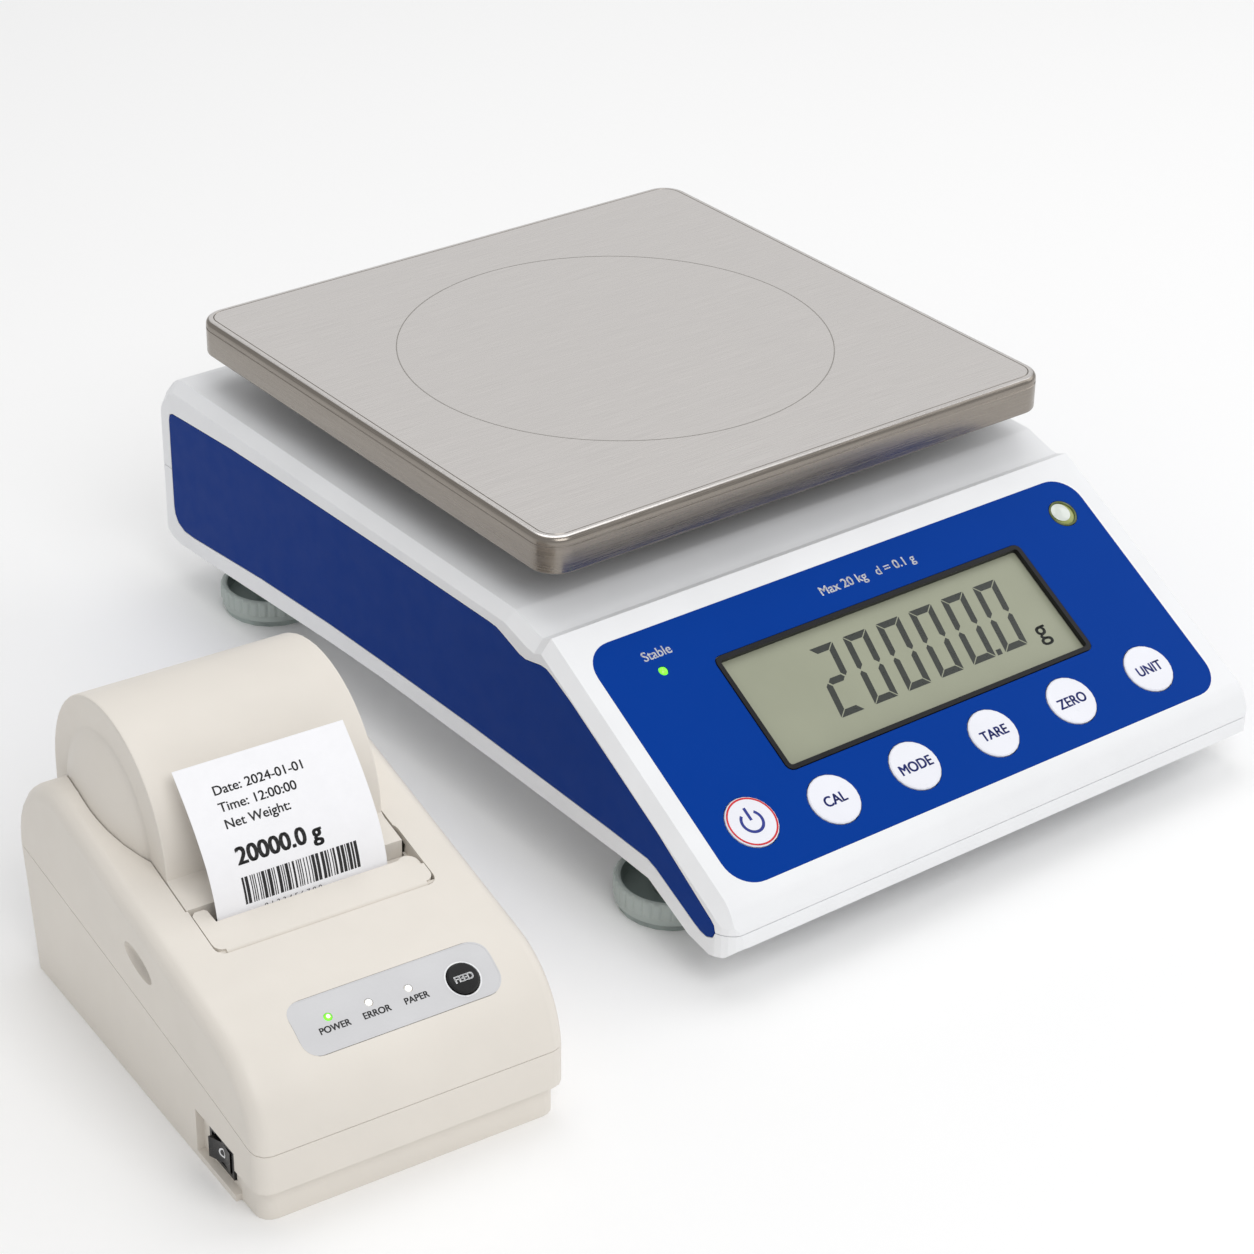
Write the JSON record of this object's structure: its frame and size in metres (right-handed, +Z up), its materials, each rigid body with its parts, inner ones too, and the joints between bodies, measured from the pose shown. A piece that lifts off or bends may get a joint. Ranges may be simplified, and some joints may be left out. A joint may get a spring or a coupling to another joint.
{
  "type": "label printing scale",
  "caption": "Counter weighing scale with a square steel pan and sloping display panel, and the separate label printer beside it that prints its weights on a paper roll.",
  "frame": {"origin": "on the table at the centre of the footprint of the whole set", "axes": "+Z up; -Y towards the user, square to the display panel; +X to the right, from the printer towards the scale"},
  "size_m": [0.4122, 0.3626, 0.115],
  "materials": {
    "white_plastic": "moulded white ABS, fine satin grain",
    "navy_plastic": "dark blue moulded inlay, satin",
    "blue_film": "printed polyester overlay, semi-gloss",
    "pan_steel": "brushed stainless steel, brushed across the width",
    "plated_steel": "zinc-plated sheet steel",
    "aluminium": "sawn and milled",
    "black_plastic": "black moulding, semi-gloss",
    "lcd_glass": "grey-green liquid crystal cell",
    "key_film": "white domed key face",
    "green_lens": "lit green lens",
    "white_lens": "unlit milky lens",
    "vial_lens": "clear level vial with pale liquid",
    "board": "green solder resist",
    "battery_case": "black battery case",
    "foot_plastic": "translucent grey-green nylon",
    "rubber": "black rubber",
    "cream_plastic": "warm off-white ABS, fine grain",
    "sticker_film": "light grey printed film",
    "paper": "thermal label paper",
    "cardboard": "wound board core",
    "gear_plastic": "natural acetal",
    "motor_steel": "motor can"
  },
  "bodies": {
    "root": {"chassis_plate": "plated_steel", "load_cell_block": "plated_steel", "load_cell": "aluminium", "top_casing": "white_plastic", "bottom_casing": "white_plastic", "left_side_inlay": "navy_plastic", "right_side_inlay": "navy_plastic", "front_overlay": "blue_film", "display_bezel": "black_plastic", "display_glass": "lcd_glass", "stable_lamp": "green_lens", "level_vial": "vial_lens", "main_board": "board", "display_board": "board", "battery_pack": "battery_case", "power_socket": "black_plastic", "data_socket": "plated_steel", "printer_base": "cream_plastic", "switch_bezel": "black_plastic", "interface_socket": "plated_steel", "supply_socket": "black_plastic", "stepper_motor": "motor_steel", "mechanism_frame": "plated_steel", "printer_board": "board"},
    "pan_carrier": {"pan_support": "aluminium"},
    "pan": {"weighing_pan": "pan_steel"},
    "power_key": {"power_key": "key_film"},
    "calibrate_key": {"calibrate_key": "key_film"},
    "mode_key": {"mode_key": "key_film"},
    "tare_key": {"tare_key": "key_film"},
    "zero_key": {"zero_key": "key_film"},
    "unit_key": {"unit_key": "key_film"},
    "pad_front_left": {"foot_pad_front_left": "rubber"},
    "foot_front_left": {"foot_front_left": "foot_plastic"},
    "pad_front_right": {"foot_pad_front_right": "rubber"},
    "foot_front_right": {"foot_front_right": "foot_plastic"},
    "pad_rear_left": {"foot_pad_rear_left": "rubber"},
    "foot_rear_left": {"foot_rear_left": "foot_plastic"},
    "pad_rear_right": {"foot_pad_rear_right": "rubber"},
    "foot_rear_right": {"foot_rear_right": "foot_plastic"},
    "lid": {"printer_casing": "cream_plastic", "roll_cover": "cream_plastic", "cover_hinge_pin": "plated_steel", "control_sticker": "sticker_film", "power_lamp": "green_lens", "error_lamp": "white_lens", "paper_lamp": "white_lens", "print_head": "motor_steel", "tear_bar": "plated_steel", "label_strip": "paper"},
    "flap": {"head_flap": "cream_plastic"},
    "feed_button": {"feed_button": "black_plastic"},
    "rocker": {"rocker_switch": "black_plastic"},
    "roll": {"label_roll": "paper", "roll_core": "cardboard"},
    "platen": {"platen_roller": "rubber", "platen_shaft": "plated_steel", "platen_gear": "gear_plastic"},
    "idler": {"idler_gear": "gear_plastic"},
    "pinion": {"motor_pinion": "gear_plastic"}
  },
  "joints": [
    {"name": "load_deflection", "type": "slide", "parent": "root", "child": "pan_carrier", "axis": [0, 0, 1], "range_m": [-0.0006, 0], "stiffness_N_per_m": 100000, "springref_m": 0.0002},
    {"name": "pan_lift", "type": "slide", "parent": "pan_carrier", "child": "pan", "axis": [0, 0, 1], "range_m": [0, 0.03]},
    {"name": "power_key_press", "type": "slide", "parent": "root", "child": "power_key", "axis": [0, 0.4894, -0.8721], "range_m": [0, 0.0005], "stiffness_N_per_m": 500, "springref_m": -0.0005},
    {"name": "calibrate_key_press", "type": "slide", "parent": "root", "child": "calibrate_key", "axis": [0, 0.4894, -0.8721], "range_m": [0, 0.0005], "stiffness_N_per_m": 500, "springref_m": -0.0005},
    {"name": "mode_key_press", "type": "slide", "parent": "root", "child": "mode_key", "axis": [0, 0.4894, -0.8721], "range_m": [0, 0.0005], "stiffness_N_per_m": 500, "springref_m": -0.0005},
    {"name": "tare_key_press", "type": "slide", "parent": "root", "child": "tare_key", "axis": [0, 0.4894, -0.8721], "range_m": [0, 0.0005], "stiffness_N_per_m": 500, "springref_m": -0.0005},
    {"name": "zero_key_press", "type": "slide", "parent": "root", "child": "zero_key", "axis": [0, 0.4894, -0.8721], "range_m": [0, 0.0005], "stiffness_N_per_m": 500, "springref_m": -0.0005},
    {"name": "unit_key_press", "type": "slide", "parent": "root", "child": "unit_key", "axis": [0, 0.4894, -0.8721], "range_m": [0, 0.0005], "stiffness_N_per_m": 500, "springref_m": -0.0005},
    {"name": "foot_rise_front_left", "type": "slide", "parent": "root", "child": "pad_front_left", "axis": [0, 0, 1], "range_m": [-0.0025, 0.0025]},
    {"name": "foot_turn_front_left", "type": "hinge", "parent": "pad_front_left", "child": "foot_front_left", "pos_m": [-0.00907, -0.11052, 0.008], "axis": [0, 0, 1], "range_deg": [-600, 600]},
    {"name": "foot_rise_front_right", "type": "slide", "parent": "root", "child": "pad_front_right", "axis": [0, 0, 1], "range_m": [-0.0025, 0.0025]},
    {"name": "foot_turn_front_right", "type": "hinge", "parent": "pad_front_right", "child": "foot_front_right", "pos_m": [0.18453, -0.11052, 0.008], "axis": [0, 0, 1], "range_deg": [-600, 600]},
    {"name": "foot_rise_rear_left", "type": "slide", "parent": "root", "child": "pad_rear_left", "axis": [0, 0, 1], "range_m": [-0.0025, 0.0025]},
    {"name": "foot_turn_rear_left", "type": "hinge", "parent": "pad_rear_left", "child": "foot_rear_left", "pos_m": [-0.00907, 0.13668, 0.008], "axis": [0, 0, 1], "range_deg": [-600, 600]},
    {"name": "foot_rise_rear_right", "type": "slide", "parent": "root", "child": "pad_rear_right", "axis": [0, 0, 1], "range_m": [-0.0025, 0.0025]},
    {"name": "foot_turn_rear_right", "type": "hinge", "parent": "pad_rear_right", "child": "foot_rear_right", "pos_m": [0.18453, 0.13668, 0.008], "axis": [0, 0, 1], "range_deg": [-600, 600]},
    {"name": "lid_hinge", "type": "hinge", "parent": "root", "child": "lid", "pos_m": [-0.14265, -0.01499, 0.044], "axis": [-0.9971, 0.0767, 0], "range_deg": [0, 75]},
    {"name": "flap_hinge", "type": "hinge", "parent": "lid", "child": "flap", "pos_m": [-0.1504, -0.12484, 0.0584], "axis": [0.9971, -0.0767, 0], "range_deg": [0, 70]},
    {"name": "feed_press", "type": "slide", "parent": "lid", "child": "feed_button", "axis": [0.0397, 0.5165, -0.8554], "range_m": [0, 0.0008], "stiffness_N_per_m": 500, "springref_m": -0.0005},
    {"name": "rocker_tilt", "type": "hinge", "parent": "root", "child": "rocker", "pos_m": [-0.19963, -0.14681, 0.0092], "axis": [0, 0, -1], "range_deg": [0, 16]},
    {"name": "roll_spin", "type": "hinge", "parent": "root", "child": "roll", "pos_m": [-0.14684, -0.05639, 0.056], "axis": [0.9971, -0.0767, 0], "continuous": true},
    {"name": "platen_spin", "type": "hinge", "parent": "root", "child": "platen", "pos_m": [-0.14971, -0.10682, 0.05], "axis": [0.9971, -0.0767, 0], "continuous": true},
    {"name": "idler_spin", "type": "hinge", "parent": "root", "child": "idler", "pos_m": [-0.10925, -0.12842, 0.0371], "axis": [0.9971, -0.0767, 0], "continuous": true},
    {"name": "pinion_spin", "type": "hinge", "parent": "root", "child": "pinion", "pos_m": [-0.11054, -0.14514, 0.02928], "axis": [0.9971, -0.0767, 0], "continuous": true}
  ],
  "couplings": [
    {"joint": "foot_turn_front_left", "follows": "foot_rise_front_left", "rad_per_m": 4188},
    {"joint": "foot_turn_front_right", "follows": "foot_rise_front_right", "rad_per_m": 4188},
    {"joint": "foot_turn_rear_left", "follows": "foot_rise_rear_left", "rad_per_m": 4188},
    {"joint": "foot_turn_rear_right", "follows": "foot_rise_rear_right", "rad_per_m": 4188},
    {"joint": "idler_spin", "follows": "platen_spin", "ratio": -0.75},
    {"joint": "pinion_spin", "follows": "platen_spin", "ratio": 1.7143}
  ]
}
